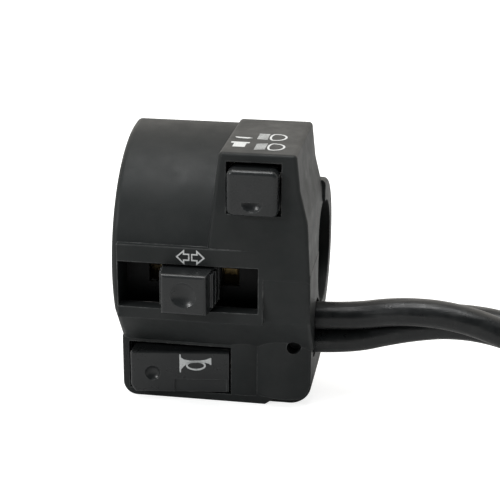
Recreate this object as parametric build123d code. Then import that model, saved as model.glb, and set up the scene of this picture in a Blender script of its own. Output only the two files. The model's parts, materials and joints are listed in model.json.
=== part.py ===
from build123d import *
import math
import os

os.makedirs("parts", exist_ok=True)

# Left-hand switch cluster for a 22.2 mm handlebar, millimetres.
# Origin: on the handlebar axis, near mid-length. +X runs along the bar to the cable end,
# -Y faces the rider, +Z is up.

# Handlebar clamp and overall body
bore_radius = 11.1
end_left = -20.2
end_right = 20.25
drum_radius = 25.5
drum_rise = 2.0
block_lead = 0.1
block_over_drum = 0.8
base = -28.8
shell_wall = 1.6
overrun = 3.0

# Front shell, lower part
belly_low = -7.2
belly_round = 1.8
plate_front = -17.5
plate_back = -15.7
plate_top = -15.65
step_level = -12.9
corner_left = 3.0
corner_right = 4.6
plate_rim_round = 0.4
plate_foot_left = 10.3
plate_foot_right = 12.1
plate_foot_lift = 1.3
drum_end_round = 1.4
column_width = 10.85
column_bulge = 1.5
column_foot_lift = 1.9
ridge_width = 5.6
ridge_bulge = 0.5
pit_radius = 1.45
pit_depth = 3.4
pit_x = 16.4
pit_level = -14.7

# Raised block that carries the dimmer
block_left_top = 2.0
block_left_low = -1.1
block_right_top = 17.2
shoulder_high_x = 18.0
shoulder_high_drop = 7.3
shoulder_low_x = 19.55
shoulder_low_drop = 13.7
shoulder_blend = 5.0
block_round = 0.8

# Turn signal panel and window
panel_right = 10.9
panel_top = 8.4
panel_low = -7.4
panel_proud = 0.35
panel_round = 0.25
panel_level_to = 1.0
window_left = -18.6
window_right = 9.9
window_top = 4.8
window_low = -4.9

# Turn signal slider
slider_travel = 6.5
slider_x = -4.35
knob_width = 9.6
knob_height = 8.4
knob_proud = 4.6
knob_lift = 1.9
knob_flare = 1.1
knob_rib = 0.5
knob_rib_count = 3
knob_round = 0.7
knob_dent_radius = 4.4
knob_dent_depth = 0.9
stem_radius = 1.3
spring_pocket_radius = 2.35
spring_pocket_depth = 5.6
guide_thick = 1.4
slot_half_height = 1.9
slide_gap = 0.15
carriage_half_width = 5.5
carriage_half_height = 4.2
carriage_depth = 2.7
neck_half_width = 2.7
rail_height = 1.5
rail_gap = 0.3
notch_depth = 0.5
ball_radius = 0.85
board_thick = 1.1
board_clear = 1.1
contact_thick = 0.4
contact_gap = 0.3

# Dimmer button and its module
dimmer_x = 8.9
dimmer_below_top = 7.05
dimmer_opening_width = 10.9
dimmer_opening_height = 10.7
dimmer_travel = 2.8
dimmer_width = 10.1
dimmer_height = 9.3
dimmer_proud = 2.4
dimmer_drop = 0.35
dimmer_cap_depth = 5.5
dimmer_round = 1.3
dimmer_edge_share = 0.7
dent_width = 4.3
dent_depth = 0.9
dent_rise = 3.0
dimmer_stem = 4.4
dimmer_tail_radius = 1.8
case_half = 4.7
case_behind_front = 6.4
case_depth = 13.2
case_wall = 1.2
collar_half = 3.1
collar_thick = 1.0
terminal_share = 0.7
latch_wire = 0.24

# Horn button and its contacts
horn_left = -17.85
horn_right = 2.65
horn_opening_left = -18.7
horn_opening_right = 3.05
horn_opening_top = -16.3
horn_opening_low = -27.0
horn_gap = 0.4
horn_top_gap = 1.0
horn_proud = 3.0
horn_flush = 0.2
horn_back = -15.2
horn_round = 0.5
horn_corner_wide = 0.9
horn_corner_tall = 1.5
horn_facet = 0.5
horn_facet_from_share = 0.45
horn_facet_top_share = 0.32
horn_dimple_shares = (0.52, 0.47)
horn_plunger_share = 0.28
horn_spring_share = 0.62
horn_dimple_radius = 2.1
horn_dimple_depth = 0.8
pivot_radius = 0.8
pivot_clear = 0.05
pivot_x = 1.3
pivot_y = -13.6
bearer_wall = 0.25
lug_radius = 1.6
plunger_radius = 1.2
plunger_tip = -11.6
horn_base_front = -6.6
horn_base_thick = 1.8

# Springs
dimmer_wire = 0.35
dimmer_spring_radius = 2.4
cancel_wire = 0.2
cancel_spring_radius = 1.85
horn_wire = 0.35
horn_spring_radius = 2.0
detent_wire = 0.12
detent_spring_radius = 0.6

# Rear shell
rear_ring_radius = 15.8
cover_right = 16.4
cover_below_top = 1.4
cover_foot_turn = 30.0
cover_lip = 2.4
cover_lip_drop = 0.8
rear_round = 1.0
box_back = 1.5
box_back_low = -24.5
box_right = 19.85

# Fasteners
screw_radius = 1.9
screw_head_radius = 3.4
screw_head_height = 2.4
boss_radius = 3.3
head_clear = 0.35
cross_width = 0.8
cross_share = 1.1
upper_screw_x = -8.5
upper_screw_below_top = 9.9
upper_seat = 3.2
upper_tip = -12.0
lower_screw_x = 7.9
lower_screw_level = -21.4
lower_seat = -1.4
lower_tip = -14.4
small_screw_radius = 1.0
small_head_radius = 1.8
small_head_height = 1.1

# Sleeves of the cable harness
sleeve_radius = 2.9
exit_margin = 0.9
sleeve_inner_end = 13.2
clamp_width = 3.0
clamp_thick = 0.7
clamp_x = 14.2
earth_thick = 0.45
earth_start = 9.5
earth_angle_from = 191.0
earth_angle_to = 214.0

# Coil that holds the rest of the harness, and what ends it
coil_x = 99.0
coil_y = 8.8
coil_pitch = 6.3
coil_middle_radius = 29.0
connector_length = 20.0
connector_width = 11.0
connector_height = 8.0
connector_wall = 1.2
connector_mouth = 9.0
pin_side = 0.8
pin_rows = 2
pin_columns = 3
tie_thick = 1.0
tie_width = 3.6
tie_head_share = 1.25

# Worked out from the sizes above
cavity_left = window_left
cavity_right = end_right - shell_wall
board_back = -bore_radius - board_clear
board_front = board_back - board_thick
carriage_back = board_front - 2 * contact_thick - contact_gap
carriage_front = carriage_back - carriage_depth
guide_back = carriage_front - contact_gap
guide_front = guide_back - guide_thick
block_front = -drum_radius - block_lead
block_top = drum_radius + drum_rise + block_over_drum
shoulder_high = block_top - shoulder_high_drop
shoulder_low = block_top - shoulder_low_drop
knob_front = block_front - knob_proud
knob_back = guide_front - knob_lift
dimmer_front = block_front - dimmer_proud
dimmer_level = block_top - dimmer_below_top
case_front = block_front + case_behind_front
case_back = case_front + case_depth
cover_top = block_top - cover_below_top
upper_screw_level = block_top - upper_screw_below_top
slot_half_length = slider_travel + neck_half_width + slide_gap
level_low = base + sleeve_radius
level_high = level_low + coil_pitch
channel_start = sleeve_inner_end - shell_wall
connector_reach = coil_middle_radius + coil_pitch + sleeve_radius + 3 * slide_gap

# Each sleeve: name, place in the exit, its route outside, coil radius and turns
sleeves = {
    "front": {
        "at": (-12.3, -9.9),
        "route": [
            (26.0, -12.3, -9.9),
            (37.5, -13.6, -7.0),
            (49.0, -14.8, -6.9),
            (60.5, -16.0, -10.2),
            (70.5, -18.9, -14.9),
            (79.5, -22.0, -18.7),
        ],
        "ring": 1,
        "turns": 1.06,
    },
    "lower": {
        "at": (-10.9, -15.9),
        "route": [
            (26.0, -10.9, -15.9),
            (37.5, -10.2, -12.5),
            (49.0, -9.8, -10.7),
            (60.5, -9.6, -12.6),
            (71.5, -12.4, -16.9),
            (81.5, -16.0, -19.4),
        ],
        "ring": 0,
        "turns": 1.12,
    },
    "upper": {
        "at": (-4.9, -15.1),
        "route": [
            (26.0, -4.9, -15.1),
            (37.5, -1.2, -14.2),
            (49.0, 2.2, -13.9),
            (61.0, 0.9, -14.8),
            (72.5, -4.3, -17.5),
            (83.4, -10.0, -19.4),
        ],
        "ring": -1,
        "turns": 1.16,
    },
}
bend_share = 0.45
widest_bend_share = 40
coil_start_share = -0.05
descent_from_share = 0.34
descent_to_share = 0.80
tie_at_share = 0.57


def block(x_low, x_high, y_low, y_high, z_low, z_high):
    """Box between two corners."""
    middle = Pos((x_low + x_high) / 2, (y_low + y_high) / 2, (z_low + z_high) / 2)
    return middle * Box(x_high - x_low, y_high - y_low, z_high - z_low)


def across(face, x_low, x_high):
    """Solid of a (y, z) face drawn on Plane.YZ, from x_low to x_high."""
    return extrude(Pos(x_low, 0, 0) * (Plane.YZ * face), x_high - x_low)


def facing(face, y_front, y_back):
    """Solid of an (x, z) face drawn on Plane.XZ, from y_front to y_back."""
    return extrude(Pos(0, y_back, 0) * (Plane.XZ * face), y_back - y_front)


def rod_x(radius, x_low, x_high, y, z):
    """Cylinder along X."""
    return across(Pos(y, z) * Circle(radius), x_low, x_high)


def rod_y(radius, x, z, y_low, y_high):
    """Cylinder along Y."""
    return facing(Pos(x, z) * Circle(radius), y_low, y_high)


def rod_z(radius, x, y, z_low, z_high):
    """Cylinder along Z."""
    return extrude(Pos(x, y, z_low) * Circle(radius), z_high - z_low)


def filled(*edges):
    """Face inside a closed chain of edges."""
    return make_face(Wire(list(edges)))


def chain(*points):
    """Straight edges through the points, in order."""
    return [Line(a, b) for a, b in zip(points, points[1:])]


def arc_at(centre, radius, turn):
    """Point on a circle in a plane, the turn in degrees."""
    a = math.radians(turn)
    return (centre[0] + radius * math.cos(a), centre[1] + radius * math.sin(a))


def edges_near(solid, axis, place, reach):
    """Edges whose middle lies within reach of a place along an axis."""
    return [e for e in solid.edges() if abs(getattr(e.center(), axis) - place) < reach]


def biarc(start, start_way, finish, finish_way):
    """Two arcs that run from start to finish and keep both directions."""
    span = finish - start
    both = start_way + finish_way
    a = 2 * (1 - start_way.dot(finish_way))
    b = span.dot(both)
    reach = (-b + math.sqrt(b * b + a * span.dot(span))) / a
    joint = (start + finish + (start_way - finish_way) * reach) * (1 / 2)
    way = (joint - start - start_way * reach).normalized()
    first = TangentArc(start, joint, tangent=start_way)
    second = TangentArc(joint, finish, tangent=way)
    return [first, second]


def wound_path(place, way, turns):
    """Chain of biarcs, each a quarter turn or less, along a winding."""
    steps = max(1, math.ceil(turns * 4))
    stops = [turns * i / steps for i in range(steps + 1)]
    edges = []
    for a, b in zip(stops, stops[1:]):
        edges += biarc(place(a), way(a), place(b), way(b))
    return edges


def helix_spring(radius, wire, length, turns):
    """Round wire spring along +Z, from the origin."""
    rise = (length - 2 * wire) / turns

    def place(t):
        a = 2 * math.pi * t
        return Vector(radius * math.cos(a), radius * math.sin(a), wire + rise * t)

    def way(t):
        a = 2 * math.pi * t
        return Vector(-math.sin(a), math.cos(a), rise / (2 * math.pi * radius)).normalized()

    path = Wire(wound_path(place, way, turns))
    return sweep(Plane(place(0), z_dir=way(0)) * Circle(wire), path)


def drum_height(y):
    """Height of the drum's skin at a depth."""
    return drum_rise + math.sqrt(drum_radius**2 - y**2)


def front_profile():
    """Outer (y, z) outline of the front shell above the step."""
    belly_y = -math.sqrt(drum_radius**2 - (belly_low - drum_rise) ** 2)
    top = (0, drum_height(0))
    low = (belly_y, belly_low)
    back = chain(low, (plate_front, plate_top), (plate_back, plate_top), (plate_back, step_level),
                 (0, step_level), top)
    turn = 180 + math.degrees(math.asin((drum_rise - belly_low) / drum_radius))
    face = filled(ThreePointArc(top, arc_at((0, drum_rise), drum_radius, (90 + turn) / 2), low), *back)
    ridge = min(face.vertices(), key=lambda v: (Vector(v.X, v.Y) - Vector(*low)).length)
    return fillet(ridge, belly_round)


def front_hollow():
    """Inner (y, z) outline of the front shell, open at the back."""
    inner = drum_radius - shell_wall
    belly_y = -math.sqrt(inner**2 - (belly_low - drum_rise) ** 2)
    floor = step_level + shell_wall
    top = (0, drum_rise + inner)
    low = (belly_y, belly_low)
    slope = (plate_front - belly_y) / (plate_top - belly_low)
    side = chain(low, (belly_y + slope * (floor - belly_low), floor), (overrun, floor), (overrun, top[1]), top)
    turn = 180 + math.degrees(math.asin((drum_rise - belly_low) / inner))
    return filled(ThreePointArc(top, arc_at((0, drum_rise), inner, (90 + turn) / 2), low), *side)


def block_outline(inset):
    """Outline (x, z) of the dimmer block, drawn in by an inset."""
    corners = [
        (block_left_low + inset, drum_rise),
        (block_left_top + inset, block_top - inset),
        (block_right_top - inset, block_top - inset),
        (shoulder_high_x - inset, shoulder_high),
        (shoulder_low_x - inset, shoulder_low),
        (end_right - inset, drum_rise),
    ]
    face = make_face(Polyline(*corners, close=True))
    bends = [v for v in face.vertices() if shoulder_low - inset <= v.Y <= shoulder_high + inset]
    return fillet(bends, shoulder_blend)


def side_outline():
    """Outline (x, z) that keeps the hollow inside the end walls."""
    low = (cavity_right, drum_rise)
    return make_face(Polyline((cavity_left, base), (cavity_left, block_top),
                              (block_right_top - shell_wall, block_top),
                              (shoulder_high_x - shell_wall, shoulder_high),
                              (shoulder_low_x - shell_wall, shoulder_low), low, (cavity_right, base), close=True))


def plate_outline():
    """Outline (x, z) of the lower front plate."""
    top = plate_top + plate_rim_round
    face = make_face(Polyline((end_left, top), (end_left, base), (plate_foot_left, base),
                              (plate_foot_right, base + plate_foot_lift), (box_right, base + plate_foot_lift),
                              (box_right, top), close=True))
    low = sorted(face.vertices(), key=lambda v: v.Y)[:2]
    low = sorted(low, key=lambda v: v.X)
    face = fillet(low[0], corner_left)
    right = [v for v in face.vertices() if v.Y < base + corner_left / 2 and v.X > 0]
    return fillet(max(right, key=lambda v: v.X), corner_right)


def bulge(x_low, x_high, height, front, back, z_low, z_high):
    """Upright pillar with a bowed front."""
    middle = (x_low + x_high) / 2
    bow = ThreePointArc((x_low, front), (middle, front - height), (x_high, front))
    rest = chain((x_high, front), (x_high, back), (x_low, back), (x_low, front))
    return extrude(Pos(0, 0, z_low) * filled(bow, *rest), z_high - z_low)


def exit_hull(margin):
    """Face (y, z) round the three sleeves, with a margin."""
    rounds = [Pos(*sleeve["at"]) * Circle(sleeve_radius + margin) for sleeve in sleeves.values()]
    edges = [e for r in rounds for e in r.edges()]
    return make_hull(edges)


def front_shell():
    """Rider-side housing: drum, dimmer block, turn panel and lower plate."""
    drum = across(front_profile(), end_left, block_left_top + block_round / 2)
    drum = fillet([e for e in edges_near(drum, "X", end_left, shell_wall / 8)
                   if e.center().Y < plate_front], drum_end_round)
    low = across(front_profile(), 0, end_right)
    low -= block(-overrun, end_right + overrun, block_front - overrun, overrun,
                 drum_rise + 2 * block_round, block_top + overrun)
    low = fillet([e for e in edges_near(low, "X", end_right, shell_wall / 8)
                  if e.center().Y < plate_front], block_round)
    raised = facing(block_outline(0), block_front, 0)
    raised = fillet([e for e in raised.edges() if e.center().Y < block_front / 2
                     or (e.center().Z > shoulder_low and abs(e.center().Y - block_front / 2) < block_round)],
                    block_round)
    plate = facing(plate_outline(), plate_front, plate_back)
    plate = fillet(edges_near(plate, "Y", plate_front, shell_wall / 8), plate_rim_round)
    column = bulge(end_right - column_width - block_round, end_right - block_round, column_bulge,
                   plate_front, plate_back, base + column_foot_lift, step_level)
    column = fillet(edges_near(column, "Z", base + column_foot_lift, shell_wall / 8), block_round)
    column &= facing(plate_outline(), plate_front - 2 * column_bulge, plate_back)
    column += bulge(end_right - column_width - block_round, end_right - block_round, column_bulge,
                    plate_front, plate_back, plate_top, step_level)
    ridge = bulge(horn_opening_right, horn_opening_right + ridge_width, ridge_bulge, plate_front,
                  plate_back, base + column_foot_lift, step_level)
    panel = turn_panel()
    body = drum + low + raised + plate + column + ridge + panel

    body -= across(front_hollow(), cavity_left, cavity_right) & facing(side_outline(), block_front, overrun)
    body -= facing(block_outline(shell_wall), block_front + shell_wall, overrun)
    body -= block(window_left, window_right, block_front - overrun, guide_front, window_low, window_top)
    body -= block(dimmer_x - dimmer_opening_width / 2, dimmer_x + dimmer_opening_width / 2,
                  block_front - overrun, block_front + 2 * overrun,
                  dimmer_level - dimmer_opening_height / 2, dimmer_level + dimmer_opening_height / 2)
    body -= block(horn_opening_left, horn_opening_right, plate_front - overrun, plate_back + overrun,
                  horn_opening_low, horn_opening_top)
    body -= rod_y(pit_radius, pit_x, pit_level, plate_front - 2 * overrun, plate_front + pit_depth / 2)
    body += upper_boss() + lower_boss()
    body -= rod_x(bore_radius, end_left - overrun, end_right + overrun, 0, 0)
    body -= across(exit_hull(exit_margin), channel_start, end_right + overrun)
    body -= earth_strip(slide_gap / 3)
    return body


def turn_panel():
    """Panel round the turn window, which runs out flush at its right end."""
    left, back = end_left + drum_end_round, block_front + shell_wall
    plan = make_face(Polyline((left, block_front - panel_proud), (panel_level_to, block_front - panel_proud),
                              (panel_right, block_front), (panel_right, back), (left, back), close=True))
    panel = extrude(Pos(0, 0, panel_low) * plan, panel_top - panel_low)
    rim = [e for e in panel.edges() if e.center().Y < block_front and e.center().X < panel_right - panel_round
           and abs(e.center().X - panel_level_to) > panel_round]
    return fillet(rim, panel_round)


def upper_boss():
    """Screw boss inside the drum."""
    boss = rod_y(boss_radius, upper_screw_x, upper_screw_level, block_front, 0)
    boss &= across(front_profile(), end_left, end_right)
    return boss - rod_y(screw_radius, upper_screw_x, upper_screw_level, upper_tip, overrun)


def lower_boss():
    """Screw boss behind the lower plate."""
    boss = rod_y(boss_radius, lower_screw_x, lower_screw_level, plate_back - shell_wall / 2,
                 lower_seat - 2 * shell_wall)
    return boss - rod_y(screw_radius, lower_screw_x, lower_screw_level, lower_tip, overrun)


def rear_box_outline(inset):
    """Outline (y, z) of the lower box of the rear shell."""
    low = base + inset
    back = box_back - inset
    return make_face(Polyline((plate_back - inset, low), (box_back_low / 8 - inset, low),
                              (back, box_back_low + inset), (back, step_level - inset),
                              (plate_back - inset, step_level - inset), close=True))


def cover_outline(inset):
    """Outline (y, z) of the upper cover of the rear shell."""
    foot = arc_at((0, 0), rear_ring_radius, cover_foot_turn)
    return make_face(Polyline((0, cover_top - inset), (cover_lip - inset, cover_top - cover_lip_drop - inset),
                              (foot[0] - inset, foot[1]), (0, bore_radius), close=True))


def rear_shell():
    """Far-side housing: clamp ring, upper cover and lower box."""
    ring = across(Circle(rear_ring_radius), end_left, end_right)
    ring &= block(end_left, end_right, 0, 2 * rear_ring_radius, -rear_ring_radius, rear_ring_radius)
    ring = fillet([e for e in ring.edges() if e.center().Y > rear_ring_radius / 3
                   and min(abs(e.center().X - end_left), abs(e.center().X - end_right)) < rear_round],
                  rear_round)
    cover = across(cover_outline(0), end_left, cover_right)
    cover = fillet([e for e in cover.edges() if e.center().Z > upper_screw_level / 2
                    and e.center().Y > cover_lip / 4], rear_round)
    box = across(rear_box_outline(0), end_left, box_right)
    low = [e for e in box.edges().filter_by(Axis.Y) if e.center().Z < base / 2]
    low = sorted(low, key=lambda e: e.center().X)
    box = fillet(low[0], corner_left)
    low = [e for e in box.edges().filter_by(Axis.Y) if e.center().Z < base / 2]
    box = fillet(max(low, key=lambda e: e.center().X), corner_right)
    body = ring + cover + box
    room = across(cover_outline(shell_wall), cavity_left, cover_right - shell_wall)
    room += block(cavity_left, cover_right - shell_wall, -overrun, slide_gap, bore_radius + shell_wall,
                  cover_top - shell_wall)
    body -= room - rod_x(rear_ring_radius, end_left, end_right, 0, 0)
    cellar = across(rear_box_outline(shell_wall), cavity_left, box_right - shell_wall)
    cellar += block(cavity_left, box_right - shell_wall, plate_back - overrun, plate_back + shell_wall,
                    base + shell_wall, step_level - shell_wall)
    body -= cellar - facing(corner_post(), plate_back, box_back)
    seat_boss = rod_y(screw_head_radius + 2 * head_clear + shell_wall / 2, upper_screw_x,
                      upper_screw_level, 0, rear_ring_radius)
    body += seat_boss & across(cover_outline(0), end_left, cover_right)
    body += rod_y(screw_head_radius + head_clear + shell_wall / 2, lower_screw_x, lower_screw_level,
                  lower_seat - 2 * shell_wall, box_back)
    for x, z, seat in ((upper_screw_x, upper_screw_level, upper_seat),
                       (lower_screw_x, lower_screw_level, lower_seat)):
        body -= rod_y(screw_radius + slide_gap, x, z, -2 * boss_radius, rear_ring_radius)
        body -= rod_y(screw_head_radius + head_clear, x, z, seat, 2 * rear_ring_radius)
    body -= rod_x(bore_radius, end_left - overrun, end_right + overrun, 0, 0)
    body -= across(exit_hull(exit_margin), channel_start, end_right + overrun)
    return body


def corner_post():
    """Corner that the box keeps inside behind its larger lower round."""
    return Pos(box_right - corner_right / 2, base + corner_right / 2) * Rectangle(corner_right, corner_right)


def shell_screw(x, z, seat, tip):
    """Pan-head screw along Y with a cross recess, its head at the back."""
    shank = rod_y(screw_radius, x, z, tip, seat)
    head = rod_y(screw_head_radius, x, z, seat, seat + screw_head_height)
    head = fillet(max(head.edges(), key=lambda e: e.center().Y), screw_head_height / 3)
    arm = screw_head_radius * cross_share
    for wide, tall in ((arm, cross_width), (cross_width, arm)):
        head -= block(x - wide / 2, x + wide / 2, seat + screw_head_height / 2,
                      seat + screw_head_height + overrun, z - tall / 2, z + tall / 2)
    return shank + head


def shell_screws():
    """The two screws that hold the shells together."""
    return Compound([shell_screw(upper_screw_x, upper_screw_level, upper_seat, upper_tip),
                     shell_screw(lower_screw_x, lower_screw_level, lower_seat, lower_tip)])


def turn_guide_plate():
    """Slotted plate behind the turn window, with the detent rail."""
    plate = block(cavity_left + slide_gap, window_right + shell_wall, guide_front, guide_back,
                  window_low - shell_wall, window_top + shell_wall)
    plate &= across(front_hollow(), cavity_left, cavity_right)
    slot = block(slider_x - slot_half_length, slider_x + slot_half_length, guide_front - overrun,
                 guide_back + overrun, -slot_half_height, slot_half_height)
    rail_top = -carriage_half_height - rail_gap - ball_radius
    rail = block(slider_x - slot_half_length, slider_x + slot_half_length, guide_back, carriage_back,
                 rail_top - rail_height, rail_top)
    for stop in (-slider_travel, 0, slider_travel):
        rail -= rod_y(ball_radius, slider_x + stop, rail_top + ball_radius - notch_depth, guide_back, 0)
    return plate - slot + rail


def turn_carriage():
    """Slider block behind the guide plate, with the neck through its slot."""
    body = block(slider_x - carriage_half_width, slider_x + carriage_half_width, carriage_front,
                 carriage_back, -carriage_half_height, carriage_half_height)
    body += block(slider_x - neck_half_width, slider_x + neck_half_width, guide_front - slide_gap,
                  carriage_front, slide_gap - slot_half_height, slot_half_height - slide_gap)
    body -= rod_y(stem_radius + pivot_clear, slider_x, 0, guide_front - overrun, carriage_back - shell_wall / 2)
    return body - rod_z(ball_radius, slider_x, (carriage_front + carriage_back) / 2,
                        -carriage_half_height - overrun, -stem_radius - shell_wall / 2)


def knob_side(reach):
    """Face (x, y) of the knob seen from above."""
    half = knob_width / 2 + reach
    spread = half + knob_flare
    back = knob_back
    return make_face(Polyline((slider_x - half, knob_front), (slider_x + half, knob_front),
                              (slider_x + spread, back), (slider_x - spread, back), close=True))


def turn_knob():
    """Slider knob: flared block with grip ribs, a finger dent and a stem."""
    half = knob_height / 2
    body = extrude(Pos(0, 0, -half) * knob_side(-knob_rib / 2), 2 * half)
    body = fillet([e for e in body.edges() if e.center().Y < knob_front + knob_round / 2], knob_round)
    rib = (knob_back - knob_front) / (3 * knob_rib_count)
    for i in range(knob_rib_count):
        y = knob_front + (2 * i + 3) * rib
        slab = extrude(Pos(0, 0, knob_round - half) * knob_side(knob_rib / 2), 2 * (half - knob_round))
        body += slab & block(slider_x - 2 * knob_width, slider_x + 2 * knob_width, y, y + rib, -half, half)
    lift = knob_dent_radius - knob_dent_depth
    body -= Pos(slider_x, knob_front - lift, 0) * Sphere(knob_dent_radius)
    body -= rod_y(spring_pocket_radius, slider_x, 0, knob_back - spring_pocket_depth, knob_back + overrun)
    return body + rod_y(stem_radius, slider_x, 0, knob_back - spring_pocket_depth - shell_wall / 2,
                        carriage_front)


def turn_cancel_spring():
    """Spring that pushes the knob back out."""
    length = guide_front - slide_gap - (knob_back - spring_pocket_depth)
    spring = helix_spring(cancel_spring_radius, cancel_wire, length, 5)
    return Pos(slider_x, guide_front - slide_gap, 0) * Rot(90, 0, 0) * spring


def turn_detent_ball():
    """Steel ball of the slider detent."""
    y = (carriage_front + carriage_back) / 2
    return Pos(slider_x, y, -carriage_half_height) * Sphere(ball_radius - pivot_clear)


def turn_detent_spring():
    """Spring behind the detent ball."""
    y = (carriage_front + carriage_back) / 2
    low = -carriage_half_height + ball_radius
    length = -stem_radius - shell_wall / 2 - low
    return Pos(slider_x, y, low) * helix_spring(detent_spring_radius, detent_wire, length, 3)


def turn_contact_bridge():
    """Brass bridge on the back of the slider."""
    plate = block(slider_x - carriage_half_width + shell_wall, slider_x + carriage_half_width - shell_wall,
                  carriage_back, carriage_back + contact_thick, -stem_radius, stem_radius)
    for way in (-1, 1):
        plate += rod_y(stem_radius / 2, slider_x + way * neck_half_width, 0, carriage_back,
                       carriage_back + contact_thick + contact_gap / 3)
    return plate


def turn_contact_board():
    """Insulating board that carries the fixed turn contacts."""
    wide = slot_half_length + shell_wall
    board = block(slider_x - wide, slider_x + wide, board_front, board_back, -carriage_half_height - shell_wall,
                  carriage_half_height + shell_wall)
    for x in turn_contact_places():
        board -= rod_y(stem_radius / 2, x, stem_radius, board_front - overrun, board_back + overrun)
    return board


def turn_contact_places():
    """Places along X of the fixed turn contacts."""
    return [slider_x + i * slider_travel for i in (-1, 0, 1)]


def turn_fixed_contacts():
    """Three brass pads on the turn contact board, each with its tail."""
    wide = slider_travel / 2
    pads = []
    for x in turn_contact_places():
        pad = block(x - wide / 2, x + wide / 2, board_front - contact_thick, board_front,
                    -stem_radius, stem_radius + shell_wall)
        pad += rod_y(stem_radius / 2, x, stem_radius, board_front, board_back + contact_thick)
        pads.append(pad)
    return Compound(pads)


def dimmer_button():
    """Push button of the dimmer: rounded cap with a finger dent, stem and collar."""
    z = dimmer_level - dimmer_drop
    y = dimmer_front + dimmer_cap_depth
    cap = block(dimmer_x - dimmer_width / 2, dimmer_x + dimmer_width / 2, dimmer_front, y,
                z - dimmer_height / 2, z + dimmer_height / 2)
    cap = fillet(cap.edges().filter_by(Axis.Y), dimmer_round)
    cap = fillet([e for e in cap.edges() if e.center().Y < dimmer_front + dimmer_round / 4],
                 dimmer_round * dimmer_edge_share)
    dent_top = z - dimmer_height / 2 + dent_rise
    dent_radius = ((dent_width / 2) ** 2 + dent_depth**2) / (2 * dent_depth)
    dent = Pos(dimmer_x, dimmer_front + dent_depth - dent_radius, dent_top) * Sphere(dent_radius)
    dent &= block(dimmer_x - dent_width, dimmer_x + dent_width, dimmer_front - dent_width,
                  dimmer_front + dent_width, dent_top - dent_width, dent_top)
    cap -= dent
    stem_end = case_back - case_wall - dimmer_travel - shell_wall
    stem = block(dimmer_x - dimmer_stem / 2, dimmer_x + dimmer_stem / 2, y - shell_wall, case_front + collar_thick,
                 z - dimmer_stem / 2, z + dimmer_stem / 2)
    stem += rod_y(dimmer_tail_radius, dimmer_x, z, case_front, stem_end)
    inner = case_front + case_wall + slide_gap
    collar = block(dimmer_x - collar_half, dimmer_x + collar_half, inner, inner + collar_thick,
                   z - collar_half, z + collar_half)
    return cap + stem + collar


def dimmer_case():
    """Moulded guide that holds the dimmer's stem, spring and contacts."""
    z = dimmer_level - dimmer_drop
    body = block(dimmer_x - case_half, dimmer_x + case_half, case_front, case_back, z - case_half, z + case_half)
    room = case_half - case_wall
    body -= block(dimmer_x - room, dimmer_x + room, case_front + case_wall, case_back - case_wall,
                  z - room, z + room)
    hole = dimmer_stem / 2 + slide_gap
    body -= block(dimmer_x - hole, dimmer_x + hole, case_front - overrun, case_front + case_wall,
                  z - hole, z + hole)
    for x in dimmer_pin_places():
        body -= rod_z(contact_thick, x, dimmer_pin_depth(), z - case_half - overrun, z - room)
    return body


def dimmer_pin_places():
    """Places along X of the dimmer's terminals."""
    return [dimmer_x + i * collar_half * terminal_share for i in (-1, 0, 1)]


def dimmer_pin_depth():
    """Depth of the dimmer's terminals."""
    return case_front + case_wall + dimmer_travel


def dimmer_terminals():
    """Three brass terminals in the floor of the dimmer case."""
    z = dimmer_level - dimmer_drop
    top = z - collar_half - contact_gap
    return Compound([rod_z(contact_thick, x, dimmer_pin_depth(), z - case_half - case_wall, top)
                     for x in dimmer_pin_places()])


def dimmer_contact():
    """Brass bridge behind the collar of the dimmer's stem."""
    z = dimmer_level - dimmer_drop
    y = case_front + case_wall + slide_gap + collar_thick
    plate = block(dimmer_x - collar_half, dimmer_x + collar_half, y, y + contact_thick, z - collar_half,
                  z + collar_half)
    return plate - rod_y(dimmer_stem / 2 + slide_gap, dimmer_x, z, y - overrun, y + overrun)


def dimmer_spring():
    """Return spring of the dimmer."""
    z = dimmer_level - dimmer_drop
    start = case_front + case_wall + slide_gap + collar_thick + contact_thick
    spring = helix_spring(dimmer_spring_radius, dimmer_wire, case_back - case_wall - start, 6)
    return Pos(dimmer_x, case_back - case_wall, z) * Rot(90, 0, 0) * spring


def dimmer_latch_wire():
    """Bent wire that latches the dimmer when it is pressed in."""
    z = dimmer_level - dimmer_drop + case_half - case_wall
    wire = latch_wire
    drop = case_half - case_wall - dimmer_stem / 2 - slide_gap
    ahead = case_front + case_wall + slide_gap + collar_thick + contact_thick + dimmer_travel + slide_gap + wire
    path = FilletPolyline((dimmer_x, ahead, z - drop), (dimmer_x, ahead, z - 2 * wire),
                          (dimmer_x, case_back - case_wall, z - 2 * wire), radius=2 * wire)
    return sweep(Plane((dimmer_x, ahead, z - drop), z_dir=(0, 0, 1)) * Circle(wire), path)


def horn_face(x):
    """Depth of the horn button's face at a place along X."""
    share = (horn_right - x) / (horn_right - horn_left)
    return plate_front - horn_flush - (horn_proud - horn_flush) * share


def horn_ends():
    """Low and high ends of the horn paddle."""
    return horn_opening_low + horn_gap, horn_opening_top - horn_top_gap


def horn_middle():
    """Middle height of the horn paddle."""
    return sum(horn_ends()) / 2


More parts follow.
